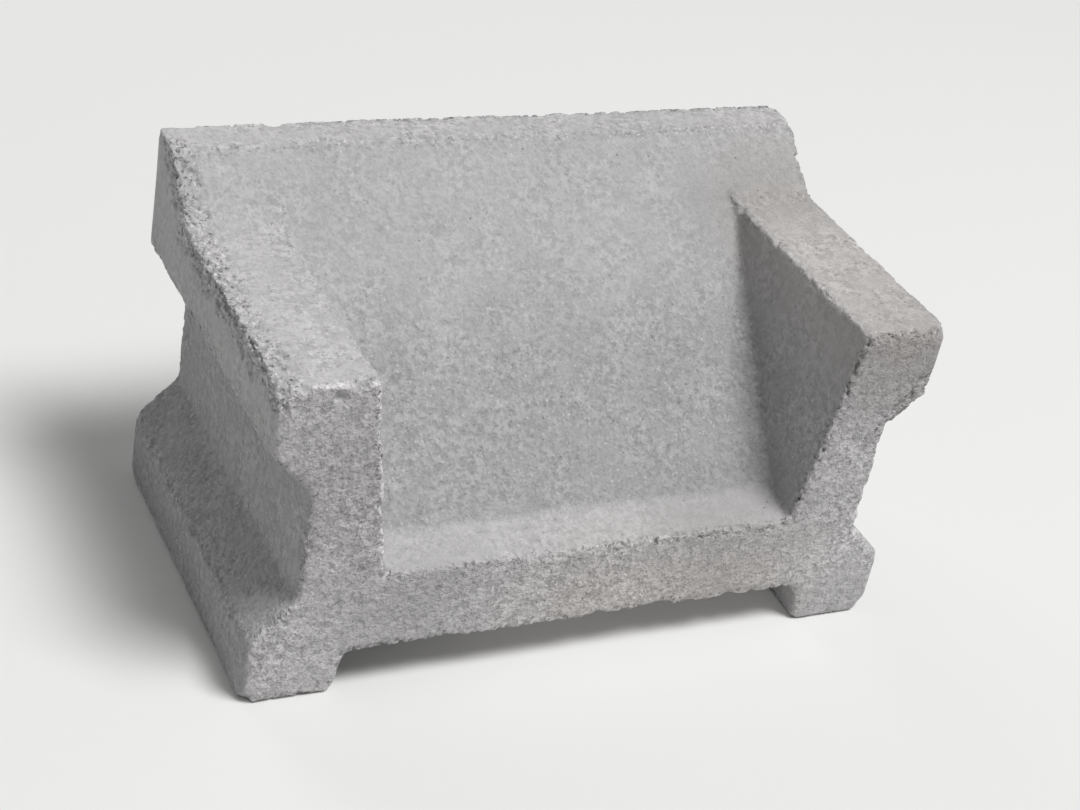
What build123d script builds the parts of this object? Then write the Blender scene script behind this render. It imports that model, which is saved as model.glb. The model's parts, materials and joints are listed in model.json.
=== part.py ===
# A louvre block of dry-cast concrete: two end cheeks joined by one sloping blade.
#
# The blade falls from a weather upstand at the top of the back to a lip at the
# bottom of the front, so air passes over and under it and rain runs off. The
# block is one casting. It is built here as the mould makes it: the outline of
# the mould box, less a front core, a back core and a key bar along each end.
#
# The block stands on the feet of its cheeks. +X is to the right, +Y to the
# back and +Z up. The origin is on the floor under the middle of the block.

from build123d import *
import os

# Driving dimensions, in millimetres.

# Mould box
width = 290.0              # end to end, over both cheeks
depth = 163.0              # front face to back face
bed_height = 146.0         # floor to the flat top beds of the cheeks
upstand_rise = 23.0        # upstand above the top beds
upstand_flat = 21.0        # flat top of the upstand, front to back
upstand_blend = 25.0       # radius where a top bed turns up into the upstand
corner_radius = 5.0        # upright corners of the mould box

# Cheeks: each core is wider at its mouth, so a cheek thins towards its beds
cheek_at_bed = 40.5        # thickness at the top bed
cheek_at_lip = 54.0        # thickness level with the top of the front lip
cheek_at_foot = 38.0       # thickness at the foot
cheek_at_back_lip = 57.5   # thickness level with the edge of the back lip

# Front lip, at the foot of the blade
lip_underside = 18.5       # floor to the underside of the lip
lip_face = 37.5            # height of the lip's upright front face
lip_ledge = 20.0           # ledge behind the lip's top edge
lip_ledge_rise = 3.0       # rise of that ledge towards the blade
lip_soffit = 10.0          # level underside, before the blade's underside starts
front_fillet = 14.0        # curve where the ledge turns up into the blade

# Back lip, under the upstand
back_lip_face = 63.0       # height of the back face, down from the upstand's top
back_ledge = 22.0          # ledge in front of the back lip's lower edge
back_ledge_fall = 5.0      # fall of that ledge towards the blade
back_fillet = 14.0         # curve where that ledge turns down into the blade

# Key grooves, front to back along both ends
key_depth = 18.0           # depth of the groove
key_foot = 30.0            # floor to the groove's lower outer edge
key_mouth = 86.0           # height of the groove at the end face
key_floor = 50.0           # height of the groove's flat bottom

core_fillet = 2.5          # inside corners between the blade and the cheeks
clear = 30.0               # how far a core or key bar reaches past the mould box

# Heights and places that follow from them
total_height = bed_height + upstand_rise
front = -depth / 2
back = depth / 2
lip_top = lip_underside + lip_face
back_lip_edge = total_height - back_lip_face

# The blade's upper face runs in one plane from the front ledge to the upstand
ledge_foot = (front + lip_ledge, lip_top + lip_ledge_rise)
upstand_front = (back - upstand_flat, total_height)
upper_run = upstand_front[0] - ledge_foot[0]
upper_rise = upstand_front[1] - ledge_foot[1]
upper_slope = upper_rise / upper_run


def upper_face_y(z):
    """Where the blade's upper face, or the line that carries it on, is at height z."""
    return ledge_foot[0] + (z - ledge_foot[1]) / upper_slope


def prism_along_x(points, length, radii=None):
    """A solid of the given (y, z) outline, centred on the block's middle plane."""
    outline = make_face(Polyline(*[(0, y, z) for y, z in points], close=True))
    for (y, z), radius in (radii or {}).items():
        vertex = outline.vertices().sort_by_distance((0, y, z))[0]
        outline = fillet(vertex, radius)
    return extrude(outline, length / 2, both=True)


def prism_along_y(points, y_from, y_to):
    """A solid of the given (x, z) outline between two depths."""
    outline = make_face(Polyline(*[(x, y_from, z) for x, z in points], close=True))
    return extrude(outline, y_to - y_from, dir=(0, 1, 0))


def mould_box():
    """The full-width body: side profile with the upstand, and rounded corners."""
    bend = (upper_face_y(bed_height), bed_height)
    profile = [
        (front, 0),
        (back, 0),
        (back, total_height),
        upstand_front,
        bend,
        (front, bed_height),
    ]
    body = prism_along_x(profile, width, {bend: upstand_blend})
    return fillet(body.edges().filter_by(Axis.Z), corner_radius)


def tapered_mouth(low_z, low_half, high_z, high_half, z_from, z_to):
    """A prism from front to back whose width changes evenly with height."""
    rate = (high_half - low_half) / (high_z - low_z)
    half_from = low_half + rate * (z_from - low_z)
    half_to = low_half + rate * (z_to - low_z)
    points = [(-half_from, z_from), (half_from, z_from), (half_to, z_to), (-half_to, z_to)]
    return prism_along_y(points, front - clear, back + clear)


def rounded_along_blade(core, normal_is_blade):
    """Round the long inside corners where a core's flanks meet the blade."""
    flanks = core.faces().filter_by(lambda face: abs(face.normal_at().X) > 0.5)
    floor = core.faces().filter_by(normal_is_blade)
    corners = [
        edge
        for flank in flanks
        for edge in flank.edges()
        if any(edge.is_same(other) for face in floor for other in face.edges())
    ]
    return fillet(corners, core_fillet)


def front_core():
    """The space over the blade: open to the front and the top."""
    top = total_height + clear
    profile = [
        (front - clear, lip_top),
        (front, lip_top),
        ledge_foot,
        (upper_face_y(top), top),
        (front - clear, top),
    ]
    wedge = prism_along_x(profile, width, {ledge_foot: front_fillet})
    mouth = tapered_mouth(
        lip_top, width / 2 - cheek_at_lip,
        bed_height, width / 2 - cheek_at_bed,
        lip_top - clear, top + clear,
    )
    return rounded_along_blade(
        wedge & mouth,
        lambda face: face.normal_at().Z < -0.3,
    )


def back_core():
    """The space under the blade: open to the back, the floor and under the lip."""
    blade_foot = (front + lip_soffit, lip_underside)
    blade_head = (back - back_ledge, back_lip_edge - back_ledge_fall)
    profile = [
        (front - clear, -clear),
        (back + clear, -clear),
        (back + clear, back_lip_edge),
        (back, back_lip_edge),
        blade_head,
        blade_foot,
        (front - clear, lip_underside),
    ]
    wedge = prism_along_x(profile, width, {blade_head: back_fillet})
    mouth = tapered_mouth(
        0, width / 2 - cheek_at_foot,
        back_lip_edge, width / 2 - cheek_at_back_lip,
        -2 * clear, back_lip_edge + clear,
    )
    return rounded_along_blade(
        wedge & mouth,
        lambda face: face.normal_at().Z > 0.3,
    )


def key_bar(side):
    """The bar that leaves the groove in one end; side is -1 or 1."""
    flank = (key_mouth - key_floor) / 2
    outer = side * (width / 2 + clear)
    face_x = side * width / 2
    floor_x = side * (width / 2 - key_depth)
    points = [
        (outer, key_foot),
        (face_x, key_foot),
        (floor_x, key_foot + flank),
        (floor_x, key_foot + flank + key_floor),
        (face_x, key_foot + key_mouth),
        (outer, key_foot + key_mouth),
    ]
    return prism_along_y(points, front - clear, back + clear)


def louvre_block():
    """The finished casting, one solid."""
    block = mould_box() - front_core() - back_core()
    for side in (-1, 1):
        block -= key_bar(side)
    return block


os.makedirs("parts", exist_ok=True)
export_step(louvre_block(), "parts/louvre_block.step")
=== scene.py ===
# %% [markdown]
# A louvre block of dry-cast concrete, with the finish that its mould and its handling gave it.
#
# The real block is one casting: two end cheeks, a sloping blade between them, a weather
# upstand at the top of the back and a lip at the bottom of the front. The packed CAD node
# already has that form and its sizes. What Blender adds is what happened to the concrete:
# crumbled arrises, knocks, open grain, pores, and the colour of cement and sand.
#
# The frame comes first. It gives every size and place in metres, so that nothing made here
# has to be fitted to the CAD model afterwards.

import json
import math
import time

import bmesh
import bpy
import numpy as np
from mathutils import Matrix, Vector

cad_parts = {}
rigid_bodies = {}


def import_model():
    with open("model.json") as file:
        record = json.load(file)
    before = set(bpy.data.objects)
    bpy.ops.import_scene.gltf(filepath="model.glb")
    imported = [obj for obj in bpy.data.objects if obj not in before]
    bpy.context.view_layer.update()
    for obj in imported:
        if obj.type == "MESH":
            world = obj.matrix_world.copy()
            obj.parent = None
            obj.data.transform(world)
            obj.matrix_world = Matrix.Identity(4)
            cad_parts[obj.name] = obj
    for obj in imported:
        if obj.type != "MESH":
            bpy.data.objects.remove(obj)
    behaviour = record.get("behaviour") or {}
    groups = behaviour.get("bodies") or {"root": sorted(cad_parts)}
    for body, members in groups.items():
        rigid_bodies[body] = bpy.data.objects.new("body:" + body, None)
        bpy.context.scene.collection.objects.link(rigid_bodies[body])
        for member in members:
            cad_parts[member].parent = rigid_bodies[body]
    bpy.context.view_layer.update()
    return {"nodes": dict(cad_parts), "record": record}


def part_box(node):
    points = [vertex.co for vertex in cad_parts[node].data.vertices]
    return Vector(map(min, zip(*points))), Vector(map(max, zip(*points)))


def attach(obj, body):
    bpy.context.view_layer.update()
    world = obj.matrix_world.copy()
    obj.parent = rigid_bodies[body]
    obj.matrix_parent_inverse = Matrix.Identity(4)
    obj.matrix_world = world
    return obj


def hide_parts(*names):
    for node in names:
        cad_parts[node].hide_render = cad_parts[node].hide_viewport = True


started = time.time()
mm = 0.001
for spare in list(bpy.data.objects):
    bpy.data.objects.remove(spare)
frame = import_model()
casting_node = frame["nodes"]["louvre_block"]
block_low, block_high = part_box("louvre_block")
mount_place = {mount["name"]: Vector(mount["pos_m"]) for mount in frame["record"]["mounts"]}
print("CAD box in mm:", [round(side / mm, 1) for side in block_high - block_low])

# %% [markdown]
# The blank is the casting as it left the mould: a copy of the CAD node's mesh. Drawing it
# again here could only come out less exact. The node's mesh comes as loose triangles, so the
# copy is merged first, and becomes one closed skin that edit mode and booleans can work on.
# An operator acts on everything that is selected, and the frame arrives selected, so each
# step first makes its own object the only one.

# %% The blank
merge_gap = 0.01 * mm


def only(piece):
    """Make one object the selected and active one."""
    bpy.ops.object.select_all(action="DESELECT")
    piece.select_set(True)
    bpy.context.view_layer.objects.active = piece


def blank_casting(name):
    """A copy of the CAD casting as one closed skin."""
    piece = bpy.data.objects.new(name, casting_node.data.copy())
    bpy.context.scene.collection.objects.link(piece)
    piece.data.materials.clear()
    only(piece)
    bpy.ops.object.mode_set(mode="EDIT")
    bpy.ops.mesh.select_all(action="SELECT")
    bpy.ops.mesh.remove_doubles(threshold=merge_gap)
    bpy.ops.mesh.customdata_custom_splitnormals_clear()
    bpy.ops.object.mode_set(mode="OBJECT")
    return piece


casting = blank_casting("concrete_block")
print("blank:", len(casting.data.vertices), "vertices")

# %% [markdown]
# A real block wears where it was gripped, dropped or badly filled, and that is nearly always
# at an edge. So the edges are named once, by the form that they lie on, and all the wear is
# tied to them. They are measured from the frame, with the few sizes of the casting that the
# frame doesn't give.

# %% Places on the block
cheek_at_bed = 40.5 * mm        # thickness of a cheek at its bed
cheek_at_lip = 54 * mm          # and level with the top of the lip
cheek_at_back_lip = 57.5 * mm   # and level with the edge of the back lip
cheek_at_foot = 38 * mm
upstand_flat = 21 * mm          # flat top of the upstand, front to back
lip_face = 37.5 * mm            # height of the lip's front
back_lip_face = 63 * mm         # height of the back face, down from the upstand's top
groove_mouth = 86 * mm          # height of the key groove in an end

end = block_high.x
front = block_low.y
back = block_high.y
top = block_high.z
bed = mount_place["bed_right"].z
bed_inner = end - cheek_at_bed
bend = 33 * mm                  # where a bed turns up into the upstand
upstand_front = back - upstand_flat
lip_bottom = 18.5 * mm
lip_top = lip_bottom + lip_face
lip_inner = end - cheek_at_lip
foot_inner = end - cheek_at_foot
groove_low = 30 * mm
groove_high = groove_low + groove_mouth
back_lip = top - back_lip_face
back_lip_inner = end - cheek_at_back_lip
print("bed at", round(bed / mm, 1), "mm, lip from", round(lip_bottom / mm, 1), "mm up")

# %% [markdown]
# To know how near a point of the skin is to an arris, an outward edge, the arrises are kept as
# an object of bare edges: a second blank with everything else deleted. Weights painted on the
# points would do as well, but they would be lost with each new mesh. Sharp arrises crumble.
# The blunt ones only rub smooth, so a wider guide holds both.

# %% Guides: the arrises
blunt_angle = math.radians(25)
sharp_angle = math.radians(43.5)


def arris_guide(least_angle):
    """The outward edges of the casting that turn by more than an angle, as bare edges."""
    guide = blank_casting("arris_guide")
    only(guide)
    bpy.ops.object.mode_set(mode="EDIT")
    bpy.ops.mesh.select_mode(type="EDGE")
    bpy.ops.mesh.select_all(action="DESELECT")
    skin = bmesh.from_edit_mesh(guide.data)
    for edge in skin.edges:
        edge.select = not (edge.is_convex and edge.calc_face_angle(0) > least_angle)
    skin.select_flush_mode()
    bpy.ops.mesh.delete(type="EDGE")
    bpy.ops.object.mode_set(mode="OBJECT")
    return guide


all_arrises = arris_guide(blunt_angle)
arrises = arris_guide(sharp_angle)
print("arrises:", len(all_arrises.data.edges), "edges, sharp ones:", len(arrises.data.edges))

# %% [markdown]
# The mould presses the blade, the ends and the insides of the cheeks smooth. The front, the
# back and the undersides are only shaken down against it, so their grain stays open. Another
# blank keeps just those faces, chosen by the way they face, as they could be picked by hand.

# %% Guide: the open-grained faces
squareness = 0.9         # least part of a normal that points to the front or the back
downwardness = 0.5       # least part of a normal that points at the floor


def open_face_guide():
    """The faces that look to the front, to the back or down."""
    guide = blank_casting("open_face_guide")
    only(guide)
    bpy.ops.object.mode_set(mode="EDIT")
    bpy.ops.mesh.select_mode(type="FACE")
    bpy.ops.mesh.select_all(action="DESELECT")
    skin = bmesh.from_edit_mesh(guide.data)
    for face in skin.faces:
        is_open = abs(face.normal.y) > squareness or face.normal.z < -downwardness
        face.select_set(not is_open)
    bpy.ops.mesh.delete(type="FACE")
    bpy.ops.object.mode_set(mode="OBJECT")
    return guide


open_faces = open_face_guide()
print("open-grained faces:", len(open_faces.data.polygons), "triangles")

# %% [markdown]
# An edge doesn't wear evenly along its length, so each kind of wear has its own stretches of
# edge. A stretch is a run of points, and each set of runs becomes a guide of bare edges too.
# Painting the wear by hand would show it as well, but a run can be read, named and moved. The
# first two sets are where the concrete is loose.


# %% Guides: where the concrete is loose
def run_guide(runs):
    """Runs of points, as bare edges."""
    guide = bpy.data.objects.new("run_guide", bpy.data.meshes.new("run_guide"))
    bpy.context.scene.collection.objects.link(guide)
    lines = bmesh.new()
    for run in runs:
        points = [lines.verts.new(place) for place in run]
        for start, stop in zip(points, points[1:]):
            lines.edges.new((start, stop))
    lines.to_mesh(guide.data)
    lines.free()
    return guide


# The crumbled stretch of the lip's underside stops short of the feet
soffit_inner = end - 47 * mm

# Crumbling edges
crumbly_lines = run_guide((
    ((lip_inner / 6, front, lip_top), (lip_inner, front, lip_top)),
    ((-soffit_inner, front, lip_bottom), (soffit_inner, front, lip_bottom)),
    ((-118 * mm, front, bed), (-bed_inner, front, bed), (-lip_inner, front, lip_top)),
    ((end, front, bed), (bed_inner, front, bed), (lip_inner, front, lip_top)),
    ((end, bend, bed), (end, upstand_front, top), (-end, upstand_front, top)),
    ((bed_inner, bend, bed), (end, bend, bed)),
    ((-back_lip_inner, back, back_lip), (back_lip_inner, back, back_lip)),
    ((-end / 3, back, top), (end, back, top), (end, back, groove_high)),
))

# Edges that were never well filled, where grit and voids show in a broad band
gritty_lines = run_guide((
    ((-end, front, bed), (-end, bend, bed), (-end, upstand_front, top)),
    ((end, front, groove_high), (end - 12 * mm, front, groove_high - 14 * mm)),
))
print("crumbly stretches:", len(crumbly_lines.data.edges))
print("gritty stretches:", len(gritty_lines.data.edges))

# %% [markdown]
# The other sets only change the colour. A fresh break shows a pale rim, with a painted
# highlight along it. Cement dust lies in a broad chalky band, and earth tints some faces warm.
# Darker patches darken others, and on the ledge by the right cheek they are painted shade.

# %% Guides: where the colour changes
# The pale rims also carry a painted highlight where these arrises catch the light.
pale_lines = run_guide((
    ((-end, front, bed), (-bed_inner, front, bed), (-lip_inner, front, lip_top)),
    ((lip_inner / 6, front, lip_bottom), (soffit_inner, front, lip_bottom)),
    ((-end, back, top), (-end / 2, back, top)),
))
chalky_lines = run_guide((
    ((-end, front, bed), (-end, bend, bed), (-end, upstand_front, top)),
    ((118 * mm, front, 36 * mm), (112 * mm, front, 84 * mm)),
))
ledge_line = front + 10 * mm    # halfway back on the lip's ledge
# The first run is painted shade on the ledge's right end, where the right cheek shades it. The
# others only darken patches.
darker_patch_lines = run_guide((
    ((50 * mm, ledge_line, lip_top), (lip_inner, ledge_line, lip_top)),
    ((64 * mm, front, 30 * mm), (78 * mm, front, 30 * mm)),
    ((-lip_inner, front, 36 * mm), (-70 * mm, front, 36 * mm)),
    ((114 * mm, front, 128 * mm), (136 * mm, front, 128 * mm)),
    ((118 * mm, front, 6 * mm), (134 * mm, front, 6 * mm)),
    ((bed_inner, bend, bed), (end, bend, bed)),
))
bed_middle = end - 20 * mm
earthy_lines = run_guide((
    ((bed_middle, bend, bed), (bed_middle, front, bed)),
    ((0, front, 25 * mm), (75 * mm, front, 25 * mm)),
))
guides = (all_arrises, arrises, open_faces, crumbly_lines, gritty_lines)
guides += (pale_lines, chalky_lines, darker_patch_lines, earthy_lines)
print("guides:", [len(guide.data.edges) for guide in guides], "edges")

# %% [markdown]
# A knock breaks a small shell-shaped piece out of an arris. Moving points by hand would bend
# the skin there, and a texture would leave the outline straight, so knocks are cut: a lump is
# pushed through the arris, and what it covers is gone. The knocks that show most are listed
# one by one, each with the radius of its lump.

# %% Knocks listed one by one
placed_knocks = (
    ((end, front, bed), 4.6 * mm),
    ((bed_inner, front, bed), 3.2 * mm),
    ((bed_inner, bend - 5 * mm, bed), 3 * mm),
    ((-end, front, bed), 6.5 * mm),
    ((-135 * mm, front, bed), 3.4 * mm),
    ((-121 * mm, front, bed - 6 * mm), 2.2 * mm),
    ((-end, 45 * mm, 155 * mm), 2.4 * mm),
    ((-end, 12 * mm, bed), 3 * mm),
    ((-bed_inner, front, bed), 2.4 * mm),
    ((8 * mm, front, lip_bottom), 3 * mm),
    ((37 * mm, front, lip_bottom), 3.6 * mm),
    ((52 * mm, front, lip_bottom), 2.2 * mm),
    ((71 * mm, front, lip_bottom), 3 * mm),
    ((-60 * mm, front, lip_bottom), 2.6 * mm),
    ((end, front, 0), 6 * mm),
    ((foot_inner, front, 0), 3 * mm),
    ((-end, front, 0), 4.5 * mm),
    ((-foot_inner, front, 0), 2.6 * mm),
    ((end, front, groove_low), 3 * mm),
    ((end, front, groove_high), 2.6 * mm),
    ((end, upstand_front, top), 2.6 * mm),
    ((end, back, top), 2.8 * mm),
    ((-end, back, 0), 5 * mm),
    ((end, back, 0), 3.6 * mm),
    ((foot_inner, back, 0), 2.8 * mm),
    ((40 * mm, back, top), 2.6 * mm),
    ((-96 * mm, back, top), 3.2 * mm),
    ((end, back, groove_high), 3.4 * mm),
    ((-end, back, groove_high), 2.4 * mm),
    ((-30 * mm, back, back_lip), 2.4 * mm),
    ((70 * mm, back, back_lip), 3.2 * mm),
)
print("placed knocks:", len(placed_knocks))

# %% [markdown]
# A handled block also has many small knocks in no order. Placing each would be slow and look
# regular, so they are drawn along the sharp arrises, long edges getting more. The draw has a
# seed, so the block is the same each time. Cubing the draw for the size leaves most of them
# small.

# %% Knocks spread by a seeded draw
knock_count = 120
smallest_knock = 1.2 * mm
largest_knock = 3.6 * mm
knock_seed = 11
draw = np.random.default_rng(knock_seed)


def points_along(guide, count):
    """Random points on the edges of a guide."""
    ends = [[guide.data.vertices[i].co.copy() for i in edge.vertices] for edge in guide.data.edges]
    lengths = np.array([(b - a).length for a, b in ends])
    chosen = draw.choice(len(ends), size=count, p=lengths / lengths.sum())
    return [ends[i][0].lerp(ends[i][1], draw.random()) for i in chosen]


spread_knocks = [
    (place, smallest_knock + (largest_knock - smallest_knock) * draw.random() ** 3)
    for place in points_along(arrises, knock_count)
]
widest = max(size for place, size in spread_knocks)
print("spread knocks:", len(spread_knocks), "of up to", round(widest / mm, 1), "mm")

# %% [markdown]
# The lump that cuts a knock is one icosphere with its points shaken, like a broken stone, so
# it leaves a rough face and not a smooth scoop. It is copied to each knock, turned and
# stretched at random, and the copies are joined, so that one boolean can cut them all.

# %% A broken stone at each knock
stone_shake = 0.3        # how far the points of a stone are moved, beside a radius of 1
stone_seed = 3
least_stretch = 0.7
most_stretch = 1.3


def broken_stone():
    """A small rough stone, one unit in radius."""
    bpy.ops.mesh.primitive_ico_sphere_add(subdivisions=2, radius=1)
    stone = bpy.context.object
    bpy.ops.object.mode_set(mode="EDIT")
    bpy.ops.mesh.select_all(action="SELECT")
    bpy.ops.transform.vertex_random(offset=stone_shake, uniform=stone_shake, seed=stone_seed)
    bpy.ops.object.mode_set(mode="OBJECT")
    return stone


def stones_at(knocks):
    """A stone at every knock, as one object."""
    stone = broken_stone()
    copies = []
    for place, size in knocks:
        piece = bpy.data.objects.new("knock", stone.data.copy())
        bpy.context.scene.collection.objects.link(piece)
        piece.rotation_euler = draw.uniform(-math.pi, math.pi, 3)
        piece.scale = Vector(draw.uniform(least_stretch, most_stretch, 3)) * size
        piece.location = place
        copies.append(piece)
    bpy.data.objects.remove(stone)
    only(copies[0])
    for piece in copies:
        piece.select_set(True)
    bpy.ops.object.join()
    bpy.ops.object.transform_apply(location=True, rotation=True, scale=True)
    return bpy.context.object


stones = stones_at((*placed_knocks, *spread_knocks))
print("stones:", len(stones.data.polygons), "faces")

# %% [markdown]
# The boolean takes the stones away from the casting. The exact solver is the slow one, but
# many stones overlap each other and graze the faces, and the fast solver leaves holes there.
# Every modifier here is put on as by hand and then applied, so the mesh itself holds the
# result.


# %% Cut the knocks
def apply_modifiers(piece):
    """Apply the modifiers of an object from the top down."""
    only(piece)
    for name in [modifier.name for modifier in piece.modifiers]:
        bpy.ops.object.modifier_apply(modifier=name)


cut = casting.modifiers.new("knocks", "BOOLEAN")
cut.operation = "DIFFERENCE"
cut.solver = "EXACT"
cut.use_self = True
cut.object = stones
apply_modifiers(casting)
bpy.data.objects.remove(stones)
print("knocked:", len(casting.data.polygons), "faces,", round(time.time() - started, 1), "s")

# %% [markdown]
# Crumbling and grain need a fine, even mesh, and the casting has long thin triangles round its
# knocks. Subdividing would keep their uneven shapes. A voxel remesh gives even squares all
# over, at the size of a coarse grain of sand.

# %% A fine skin
voxel = 0.8 * mm


def triangles(piece):
    """How many triangles the mesh makes."""
    piece.data.calc_loop_triangles()
    return len(piece.data.loop_triangles)


remesh = casting.modifiers.new("fine skin", "REMESH")
remesh.mode = "VOXEL"
remesh.voxel_size = voxel
apply_modifiers(casting)
print("fine skin:", triangles(casting), "triangles,", round(time.time() - started, 1), "s")

# %% [markdown]
# The wear and the finish are both sums of noise, so both are built from nodes, and a node
# tree is easier to read as maths. A wire stands for one output socket, and adding or
# multiplying wires makes the Math nodes.


# %% Wires: sockets that can be added and multiplied
class Wire:
    """One output socket of a tree."""

    def __init__(self, tree, socket):
        self.tree = tree
        self.socket = socket

    def maths(self, operation, *values):
        return self.tree.add("ShaderNodeMath", {"operation": operation}, values)

    def __add__(self, other):
        return self.maths("ADD", self, other)

    def __radd__(self, other):
        return self.maths("ADD", other, self)

    def __sub__(self, other):
        return self.maths("SUBTRACT", self, other)

    def __rsub__(self, other):
        return self.maths("SUBTRACT", other, self)

    def __mul__(self, other):
        return self.maths("MULTIPLY", self, other)

    def __rmul__(self, other):
        return self.maths("MULTIPLY", other, self)

    def at_most(self, limit):
        return self.maths("MINIMUM", self, limit)

    def between(self, low, high):
        """0 below the first value, 1 above the second and a smooth rise between them."""
        rise = {"Value": self, "From Min": low, "From Max": high}
        return self.tree.add("ShaderNodeMapRange", {"interpolation_type": "SMOOTHSTEP"}, rise)


print("wires know:", [name for name in vars(Wire) if callable(getattr(Wire, name))])

# %% [markdown]
# A tree adds any other node in one call: its type, its settings, and the values or wires of
# its sockets. Settings come first, because some of them change which sockets there are.


# %% Trees: nodes added by one call
class Tree:
    """A node tree that is built by calls."""

    def __init__(self, node_tree):
        self.nodes = node_tree.nodes
        self.links = node_tree.links

    def fill(self, socket, value):
        """Link an input, or give it its value."""
        if isinstance(value, Wire):
            self.links.new(value.socket, socket)
        elif socket.type == "RGBA":
            socket.default_value = (*value, 1)
        else:
            socket.default_value = value

    def node(self, kind, settings=None, inputs=()):
        """One node. Its inputs are a list in the sockets' order, or go by name or number."""
        node = self.nodes.new(kind)
        for name, value in (settings or {}).items():
            setattr(node, name, value)
        pairs = inputs.items() if isinstance(inputs, dict) else enumerate(inputs)
        for name, value in pairs:
            self.fill(node.inputs[name], value)
        return node

    def add(self, kind, settings=None, inputs=(), output=0):
        """One node, and the wire of one of its outputs."""
        return Wire(self, self.node(kind, settings, inputs).outputs[output])

    def mixed(self, share, first, second, blend="MIX"):
        """One colour over another by a share."""
        values = {0: share, 6: first, 7: second}
        settings = {"data_type": "RGBA", "blend_type": blend}
        return self.add("ShaderNodeMix", settings, values, output=2)


print("a tree makes nodes with:", [name for name in vars(Tree) if not name.startswith("_")])

# %% [markdown]
# Concrete has no drawn pattern, only cloudy changes and scattered grains. Noise gives the
# first and Voronoi cells the second, in geometry and in materials alike, so the calls for
# them are shared. All of them read a place in the block's own space.


# %% Patterns in space
def noise(place, size, detail=2, rough=0.5):
    """Cloudy noise whose features have the given size."""
    values = {"Vector": place, "Scale": 1 / size, "Detail": detail, "Roughness": rough}
    return place.tree.add("ShaderNodeTexNoise", inputs=values)


def cells(place, size):
    """Voronoi cells: how far a point is from its cell's seed, and a draw for each cell."""
    values = {"Vector": place, "Scale": 1 / size}
    node = place.tree.node("ShaderNodeTexVoronoi", inputs=values)
    return Wire(place.tree, node.outputs["Distance"]), Wire(place.tree, node.outputs["Color"])


def upward(vector):
    """The part of a vector that points up."""
    return vector.tree.add("ShaderNodeSeparateXYZ", inputs=[vector], output="Z")


def vector_maths(operation, first, second):
    """Vector Math on two vectors."""
    return first.tree.add("ShaderNodeVectorMath", {"operation": operation}, (first, second))


def scaled(vector, factor):
    """A vector made longer or shorter."""
    values = {0: vector, "Scale": factor}
    return vector.tree.add("ShaderNodeVectorMath", {"operation": "SCALE"}, values)


print("patterns: noise for clouds, cells for grains")

# %% [markdown]
# The wear is one Geometry Nodes tree. Displace modifiers could press a texture into the skin,
# but they know nothing of the guides. The tree first works out how near each point is to each
# guide: 1 on it, and 0 past the end of its reach.

# %% Wear: how near each guide is
arris_reach = (0, 5 * mm)
crumbly_reach = (1 * mm, 6 * mm)
gritty_reach = (0, 19 * mm)
open_reach = (0.5 * mm, 3 * mm)
rim_reach = (0.5 * mm, 3 * mm)
chalk_reach = (0, 65 * mm)
darker_patch_reach = (0, 40 * mm)
earthy_reach = (0, 50 * mm)

wear_group = bpy.data.node_groups.new("wear", "GeometryNodeTree")
for way in ("INPUT", "OUTPUT"):
    wear_group.interface.new_socket("Geometry", in_out=way, socket_type="NodeSocketGeometry")
wear = Tree(wear_group)
skin = wear.add("NodeGroupInput")
point = wear.add("GeometryNodeInputPosition")
facing = wear.add("GeometryNodeInputNormal")


def near(guide, reach, part="EDGES"):
    """1 up to the first distance from a guide, falling to 0 at the second."""
    shape = wear.add("GeometryNodeObjectInfo", inputs={"Object": guide}, output="Geometry")
    shape = {"Geometry": shape}
    gap = wear.add("GeometryNodeProximity", {"target_element": part}, shape, output="Distance")
    return 1 - gap.between(*reach)


rubbing = near(all_arrises, arris_reach)
breaking = near(arrises, arris_reach)
crumbly = near(crumbly_lines, crumbly_reach)
gritty = near(gritty_lines, gritty_reach)
open_grain = near(open_faces, open_reach, part="FACES")
rim = near(pale_lines, rim_reach)
chalk = near(chalky_lines, chalk_reach)
dull = near(darker_patch_lines, darker_patch_reach)
earthy = near(earthy_lines, earthy_reach)
print("wear so far:", len(wear.nodes), "nodes")

# %% [markdown]
# How loose the concrete is decides how much of it is lost. It is the sum of all that loosens
# it, each at its own strength: a broken arris, a crumbly stretch and a gritty band. Noise
# breaks the arrises and the gritty band up into patches. A face that looks straight up was
# struck off with a board while wet, which the finish needs to know.

# %% Wear: how loose the concrete is
worn_patch = 15 * mm
gritty_patch = 7 * mm
gritty_hold = 0.75              # how far the line counts in the gritty band, beside the noise
least_breaking = 0.25
worn_breaking = 0.4
crumbly_loss = 0.4
gritty_loss = 0.75

worn = noise(point, worn_patch, 3).between(0.4, 0.62)
gritty = (gritty * gritty_hold + noise(point, gritty_patch, 3, 0.65)).between(0.7, 1.0)
loose = breaking * (least_breaking + worn * worn_breaking)
loose = (loose + crumbly * crumbly_loss + gritty * gritty_loss).at_most(1)
struck = upward(facing).between(0.74, 1.0)
print("wear so far:", len(wear.nodes), "nodes")

# %% [markdown]
# An arris that has rubbed away is rounder in some places than in others. A bevel would give
# it one radius all along. Blurring the points' places, by a share that noise varies, rounds
# it unevenly and can't fold the skin. Each blur step spreads a little further, so a radius
# takes as many steps as its square needs.

# %% Wear: rub the arrises round
rub_radius = 2.6 * mm
blur_spread = 0.4               # squared spread that one blur step adds, in squared mesh steps
settle_steps = 3                # steps that take the voxels' stairs out everywhere
least_rub = 0.12
worn_rub = 0.4
rub_steps = round((rub_radius / voxel) ** 2 / blur_spread)


def blurred(value, steps):
    """A vector averaged with its neighbours' a number of times."""
    values = {"Value": value, "Iterations": steps}
    return wear.add("GeometryNodeBlurAttribute", {"data_type": "FLOAT_VECTOR"}, values)


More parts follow.
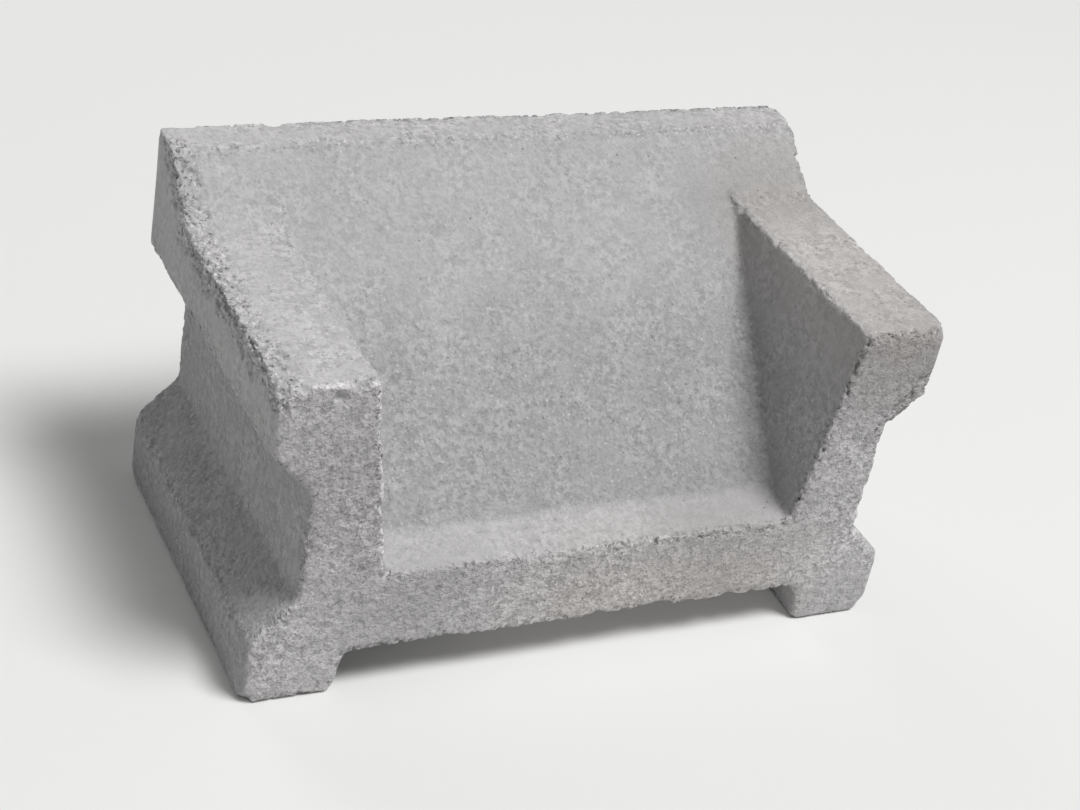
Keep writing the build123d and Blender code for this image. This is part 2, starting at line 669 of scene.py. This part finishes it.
rub_share = rubbing * (least_rub + worn * worn_rub)
rub_mix = {0: rub_share, 4: blurred(point, settle_steps), 5: blurred(point, rub_steps)}
rubbed = wear.add("ShaderNodeMix", {"data_type": "VECTOR"}, rub_mix, output=1)
inward = blurred(facing, rub_steps * 2)
print("blur steps:", settle_steps, "all over and", rub_steps, "at the arrises")

# %% [markdown]
# Where the concrete is loose, whole grains have dropped out. Each Voronoi cell is one grain,
# and its draw says whether it is gone. Coarse grains, fine ones and pits each have cells of
# their own size. A slow undulation lies under them all, because no mould is quite flat.

# %% Wear: grains that dropped out
undulation_size = 45 * mm
undulation = 0.8 * mm
rounded_grain = 2.1 * mm        # sizes of the grains, and how deep they cut
grain_relief = 0.7 * mm
coarse_grain = 3.6 * mm
lost_grain = 1.5 * mm
fine_grain = 2.0 * mm
lost_crumb = 0.9 * mm
pit_size = 5 * mm
pit_depth = 1.3 * mm
open_pits = 0.35                # how much of a pit an open face shows

from_grain, _ = cells(point, rounded_grain)
_, grain_draw = cells(point, coarse_grain)
_, crumb_draw = cells(point, fine_grain)
from_pit, _ = cells(point, pit_size)
depth = noise(point, undulation_size, 1) * undulation
depth += loose * from_grain * grain_relief
depth += loose * grain_draw.between(0.62, 0.72) * lost_grain
depth += loose * crumb_draw.between(0.6, 0.7) * lost_crumb
pits = 1 - from_pit.between(0.1, 0.26)
depth += pits * (open_grain * open_pits + loose).at_most(1) * pit_depth
print("wear so far:", len(wear.nodes), "nodes")

# %% [markdown]
# The skin is now moved in by that depth, along its blurred normals. Nothing is pushed
# outwards, and the last two nodes hold it in the CAD box, because wear only takes concrete
# away. What the wear worked out is first kept on the mesh, for the finish to read: once the
# skin has moved, the same nodes would measure other places.

# %% Wear: move the skin
moved = vector_maths("ADD", rubbed, scaled(inward, depth * -1))
moved = vector_maths("MAXIMUM", moved, tuple(block_low))
moved = vector_maths("MINIMUM", moved, tuple(block_high))
shares = {
    "loose_share": loose,
    "open_share": open_grain,
    "struck_share": struck,
    "rim_share": rim,
    "chalk_share": chalk,
    "dull_share": dull,
    "earthy_share": earthy,
}
for name, value in shares.items():
    keep = {"Geometry": skin, "Name": name, "Value": value}
    skin = wear.add("GeometryNodeStoreNamedAttribute", {"data_type": "FLOAT"}, keep)
worn_skin = wear.add("GeometryNodeSetPosition", inputs={"Geometry": skin, "Position": moved})
wear.node("NodeGroupOutput", inputs=[worn_skin])

wearing = casting.modifiers.new("wear", "NODES")
wearing.node_group = wear_group
apply_modifiers(casting)
print("worn by", len(wear.nodes), "nodes,", round(time.time() - started, 1), "s")

# %% [markdown]
# Most of those small triangles lie on nearly flat faces, where the shader's bump does the
# fine work. Decimate spends the budget where the skin is rough, on the arrises and knocks.
# The guides have done their work, and nothing but the casting stays.

# %% Thin the skin to its budget
budget = 190000          # triangles
thin = casting.modifiers.new("thin", "DECIMATE")
thin.ratio = min(1.0, budget / triangles(casting))
apply_modifiers(casting)
for guide in guides:
    bpy.data.objects.remove(guide)
only(casting)
bpy.ops.object.shade_smooth()
print("thinned:", triangles(casting), "triangles,", round(time.time() - started, 1), "s")

# %% [markdown]
# Dry-cast concrete is cement, sand and fine stone. Where the mould pressed it, cement paste
# came to the face, which is grey and nearly smooth. Beds and ledges were struck off and are
# paler. The front, the back and the undersides show open grain and pores, and a broken arris
# shows pale fresh concrete under a painted highlight. An image wrapped round the block would
# slide over its arrises and show one block's stains, so the finish is worked out from noise
# in the block's own space.

# %% Concrete: its colours
pressed_cement = (0.446, 0.441, 0.444)
struck_cement = (0.472, 0.463, 0.464)
sandy_cement = (0.386, 0.38, 0.384)
open_cement = (0.437, 0.426, 0.429)
# fresh broken concrete, with a painted highlight
broken_cement_and_highlight = (0.78, 0.765, 0.765)
# pale chalk dust, and painted light bounced up from the ground
chalk_and_bounce_colour = (0.6, 0.588, 0.592)
earth_tint = (1.0, 0.975, 0.945)
# painted shade inside pores and hollows
pore_shade = (0.12, 0.116, 0.118)
pale_grain = (0.8, 0.788, 0.79)

concrete = bpy.data.materials.new("dry_cast_concrete")
concrete.use_nodes = True
casting.data.materials.append(concrete)
finish = Tree(concrete.node_tree)
shader = finish.nodes["Principled BSDF"]
place = finish.add("ShaderNodeTexCoord", output="Object")
height_up = upward(place)
print("pressed cement:", pressed_cement)

# %% [markdown]
# A mask says how far each finish holds at a point, from 0 to 1. Most masks come from the
# wear, which kept them on the mesh. The others are worked out here: the blade turns sandy
# towards its foot, in a ragged line, and the beds, which were scraped, show more grain than
# the ledge below. Coarse sums up all that isn't smooth.

# %% Concrete: where each finish lies
cloud_size = 60 * mm
sandy_from = 138 * mm           # the blade turns sandy below this height
sandy_full = 98 * mm
sandy_ragged = 45 * mm          # how far clouds push those heights up and down
scraped_from = 90 * mm          # above this the struck faces were scraped
scraped_full = 130 * mm


def kept(name):
    """A mask that the wear kept on the mesh."""
    return finish.add("ShaderNodeAttribute", {"attribute_name": name}, output="Fac")


clouds = noise(place, cloud_size, 3, 0.6) - 0.5
kept_masks = ("open", "loose", "struck", "rim", "chalk", "dull", "earthy")
mask = {name: kept(name + "_share") for name in kept_masks}
sandy = 1 - (height_up + clouds * sandy_ragged).between(sandy_full, sandy_from)
mask["sandy"] = sandy * (1 - mask["struck"])
mask["scraped"] = mask["struck"] * height_up.between(scraped_from, scraped_full)
coarse = mask["open"] * 0.7 + mask["loose"] * 0.6 + mask["sandy"] * 0.4
mask["coarse"] = coarse.at_most(1)
print("masks:", list(mask))

# %% [markdown]
# Sand shows as speckles of a few sizes: fine sand, single grains with a shade each, grit and
# small hollows. Seen from further off they gather into mottle and faint streaks, and noise of
# a larger size gives those. All of it could be one noise with many details, but then no size
# could be made weaker or stronger by itself.

# %% Concrete: sand, grit and mottle
mottle_size = 10 * mm
grit_size = 3.2 * mm
hollow_size = 2.2 * mm
sand_size = 1.5 * mm
grain_size = 1.1 * mm
streak_size = 2.5 * mm
streak_stretch = (1, 0.06, 0.06)    # streaks run across the block's length

mottle = noise(place, mottle_size, 3, 0.65) - 0.5
grit = noise(place, grit_size, 2, 0.6).between(0.36, 0.64) - 0.5
hollows = noise(place, hollow_size, 3, 0.65).between(0.59, 0.68)
sand = noise(place, sand_size, 3, 0.65)
grain, grain_shade = cells(place, grain_size)
streaks = noise(vector_maths("MULTIPLY", place, streak_stretch), streak_size) - 0.5
print("finish so far:", len(finish.nodes), "nodes")

# %% [markdown]
# Bigger grains stand out one by one, dark stone and pale stone, and pores are small dark
# holes. Each is a round spot in a Voronoi cell, and the cell's draw decides whether it has
# one. Round spots in a straight grid of cells would look printed, so the place is stirred
# with noise first, which makes the dark and light grains ragged. The pores and the palest
# specks are small enough to stay round.

# %% Concrete: single grains and pores
stir_size = 1.6 * mm
stir_reach = 2.6 * mm
stirring = {"Vector": place, "Scale": 1 / stir_size, "Detail": 1}
stir = finish.add("ShaderNodeTexNoise", inputs=stirring, output="Color")
stir = vector_maths("SUBTRACT", stir, (0.5, 0.5, 0.5))
stirred = vector_maths("ADD", place, scaled(stir, stir_reach))


def spots(where, size, drawn, middle, rim):
    """Spots in the cells whose draw lies past a range, full to the middle, gone at the rim."""
    from_seed, cell_draw = cells(where, size)
    return cell_draw.between(*drawn) * (1 - from_seed.between(middle, rim))


dark_grains = spots(stirred, 1.9 * mm, drawn=(0.5, 0.58), middle=0.176, rim=0.44)
light_grains = spots(stirred, 1.8 * mm, drawn=(0.6, 0.68), middle=0.168, rim=0.42)
pores = spots(place, 3.1 * mm, drawn=(0.76, 0.92), middle=0.06, rim=0.17)
pale_specks = spots(place, 1.7 * mm, drawn=(0.7, 0.78), middle=0.2, rim=0.42)
print("finish so far:", len(finish.nodes), "nodes")

# %% [markdown]
# The tone is how light or dark the cement is at a point: 1 plus a sum of all those patterns.
# Each pattern has one strength everywhere and more where a mask lies, so the same sand is
# faint on the pressed blade and strong on the open front. Grains also come in patches. In the
# darker patches less of the sum shows, and the face is darker: painted shade on the ledge.

# %% Concrete: its tone
patch_size = 16 * mm
patch_flattening = 0.55             # how much of the grain the darker patches flatten
patch_darkening = 0.15              # and how much darker they make the face, painted shade on the ledge


def shown(pattern, everywhere=0, **more):
    """A pattern at one strength everywhere, and stronger where the named masks lie."""
    return pattern * sum((mask[name] * extra for name, extra in more.items()), everywhere)


patches = noise(place, patch_size).between(0.36, 0.62) * 0.9 + 0.5
shift = clouds * 0.2 + shown(mottle, 0.17, coarse=0.17) + streaks * 0.08
shift += shown(grit * patches, 0.15, coarse=0.15, scraped=0.07)
shift += shown(sand - 0.5, 0.36, coarse=0.28)
shift += shown(grain_shade - 0.5, 0.1, coarse=0.2)
shift -= shown(dark_grains * patches, 0.13, coarse=0.08, scraped=0.1, loose=0.22)
shift += shown(light_grains * patches, 0.1, coarse=0.1, scraped=0.1, loose=0.25)
bare = 1 - mask["dull"] * patch_flattening
# Painted shade on the ledge by the right cheek, and darker patches elsewhere.
tone = 1 + shift * bare - mask["dull"] * patch_darkening
print("finish so far:", len(finish.nodes), "nodes")

# %% [markdown]
# The colours are laid over each other: the cement of each face, then chalk dust and painted
# light bounced up from the ground, then pale broken rims under a painted highlight. The tone
# and the earth's tint multiply what is there so far. Pores and hollows come last, painted dark
# for the shade inside a hole, and then pale specks, which are grains of their own colour.

# %% Concrete: its colour
bounce_height = 110 * mm          # how far up the painted bounce light from the ground reaches
rim_patch = 5 * mm              # the pale rims are broken up into patches of this size
rim_strength = 0.9

colour = finish.mixed(mask["sandy"], pressed_cement, sandy_cement)
colour = finish.mixed(mask["struck"], colour, struck_cement)
colour = finish.mixed(mask["open"], colour, open_cement)
# Painted light: near the ground the open faces, and the struck ledge less, are mixed paler for the
# light that the ground bounces up. The chalky band is paler for chalk dust.
ground_bounce = 1 - height_up.between(0, bounce_height)
chalk_and_bounce_share = shown(ground_bounce, open=0.8, struck=0.25) + shown(mask["chalk"], 0.22, open=0.15)
colour = finish.mixed(chalk_and_bounce_share, colour, chalk_and_bounce_colour)
# Painted highlight: the pale rims stand for fresh broken concrete and also for the light that
# these arrises catch.
rim_and_highlight = mask["rim"] * noise(place, rim_patch, 3).between(0.32, 0.5) * rim_strength
colour = finish.mixed(rim_and_highlight, colour, broken_cement_and_highlight)
grey = finish.add("ShaderNodeCombineColor", inputs=[tone, tone, tone])
colour = finish.mixed(1.0, colour, grey, "MULTIPLY")
colour = finish.mixed(mask["earthy"], colour, earth_tint, "MULTIPLY")
# Painted shade: pores and hollows are mixed toward a dark colour for the shade that falls inside a
# hole.
colour = finish.mixed(shown(pores, 0.3, coarse=0.4), colour, pore_shade)
hollow_shade = shown(hollows, loose=0.5, open=0.28, sandy=0.06) * bare
colour = finish.mixed(hollow_shade, colour, pore_shade)
specks = shown(pale_specks * bare, 0.12, coarse=0.42, loose=0.5)
colour = finish.mixed(specks, colour, pale_grain)
finish.fill(shader.inputs["Base Color"], colour)
print("finish so far:", len(finish.nodes), "nodes")

# %% [markdown]
# The last of the finish is its touch. Sand this fine is far too much for the mesh, so a bump
# raises it, strongest on the coarse faces, from the same patterns that made the colour: a
# hollow is both darker and deeper. Concrete is rough everywhere and hardly shines.

# %% Concrete: its relief and roughness
height = shown(sand, 0.4, coarse=0.5) - shown(grain, coarse=0.3)
height += shown(grit, 0.16, coarse=0.26)
height -= shown(hollows, open=0.4, loose=0.6)
height -= pores * 0.5
relief = {"Height": height, "Distance": mm, "Strength": 1.0}
finish.fill(shader.inputs["Normal"], finish.add("ShaderNodeBump", inputs=relief))
finish.fill(shader.inputs["Roughness"], 0.86 + sand * 0.12)
shader.inputs["Specular IOR Level"].default_value = 0.3
print("concrete:", len(finish.nodes), "nodes")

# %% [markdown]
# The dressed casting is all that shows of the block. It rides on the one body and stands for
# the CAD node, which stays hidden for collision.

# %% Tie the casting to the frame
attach(casting, "root")
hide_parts("louvre_block")
print("tied:", casting.name)

# %% [markdown]
# A plain pale floor lets the outline read and takes the block's shadow. One plane does, because
# nothing on it is meant to be seen.

# %% Floor
floor_size = 8
floor_colour = (0.8, 0.8, 0.79, 1)
bpy.ops.mesh.primitive_plane_add(size=floor_size, location=(0, 0, 0))
floor = bpy.context.object
floor.name = "floor"
floor_material = bpy.data.materials.new("pale_floor")
floor_material.use_nodes = True
floor_shader = floor_material.node_tree.nodes["Principled BSDF"]
floor_shader.inputs["Base Color"].default_value = floor_colour
floor_shader.inputs["Roughness"].default_value = 0.9
floor.data.materials.append(floor_material)
print("floor:", floor_size, "m square")

# %% [markdown]
# Daylight falls on the real block from high on its right, so the right cheek throws a soft
# shadow on the blade. An area lamp gives such an edge, softer the wider it is, and a bare sun
# lamp would light the floor as hard as the block. The lamp stands far off, to light both ends
# alike. A weak lamp behind keeps the hidden side readable, and a dim white world fills the rest.

# %% Light
sky_strength = 0.2
world = bpy.data.worlds.new("studio")
bpy.context.scene.world = world
world.use_nodes = True
sky = world.node_tree.nodes["Background"]
sky.inputs["Color"].default_value = (1, 1, 1, 1)
sky.inputs["Strength"].default_value = sky_strength

block_middle = (block_low + block_high) / 2


def soft_box(name, place, size, power):
    """A square area lamp that faces the middle of the block."""
    lamp = bpy.data.lights.new(name, "AREA")
    lamp.size = size
    lamp.energy = power
    holder = bpy.data.objects.new(name, lamp)
    bpy.context.scene.collection.objects.link(holder)
    holder.location = place
    holder.visible_camera = False
    holder.rotation_euler = (block_middle - Vector(place)).to_track_quat("-Z", "Y").to_euler()


soft_box("key", place=(1.12, -1.52, 4.24), size=1.6, power=190)
soft_box("back_fill", place=(-0.7, 2.6, 1.0), size=1.4, power=16)
print("lamps:", [lamp.name for lamp in bpy.data.lights])

# %% [markdown]
# The camera stands where the reference picture was taken from: left of the block, in front of
# it, well above it and a little tilted. Turning the view until it looks right takes long and
# is never exact, so the place was worked out from the block's own corners. The aim is a point
# in the block, and to_track_quat turns the camera to it before the roll is added.

# %% Camera
camera_place = Vector((-388.9, -680.2, 554.5)) * mm
aim = Vector((5.6, -4.2, 73.6)) * mm
camera_roll = math.radians(11.3)
lens = 72.0
clip_start = 0.01

camera_data = bpy.data.cameras.new("camera")
camera_data.lens = lens
camera_data.clip_start = clip_start
camera = bpy.data.objects.new("camera", camera_data)
bpy.context.scene.collection.objects.link(camera)
camera.location = camera_place
camera.rotation_mode = "QUATERNION"
looking = (aim - camera_place).to_track_quat("-Z", "Y")
camera.rotation_quaternion = looking @ Matrix.Rotation(camera_roll, 4, "Z").to_quaternion()
bpy.context.scene.camera = camera
bpy.context.scene.view_settings.view_transform = "Standard"
print("camera:", round((camera_place - aim).length, 2), "m from its aim")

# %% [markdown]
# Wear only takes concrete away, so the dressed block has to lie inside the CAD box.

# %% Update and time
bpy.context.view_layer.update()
print("total time:", round(time.time() - started, 1), "s")
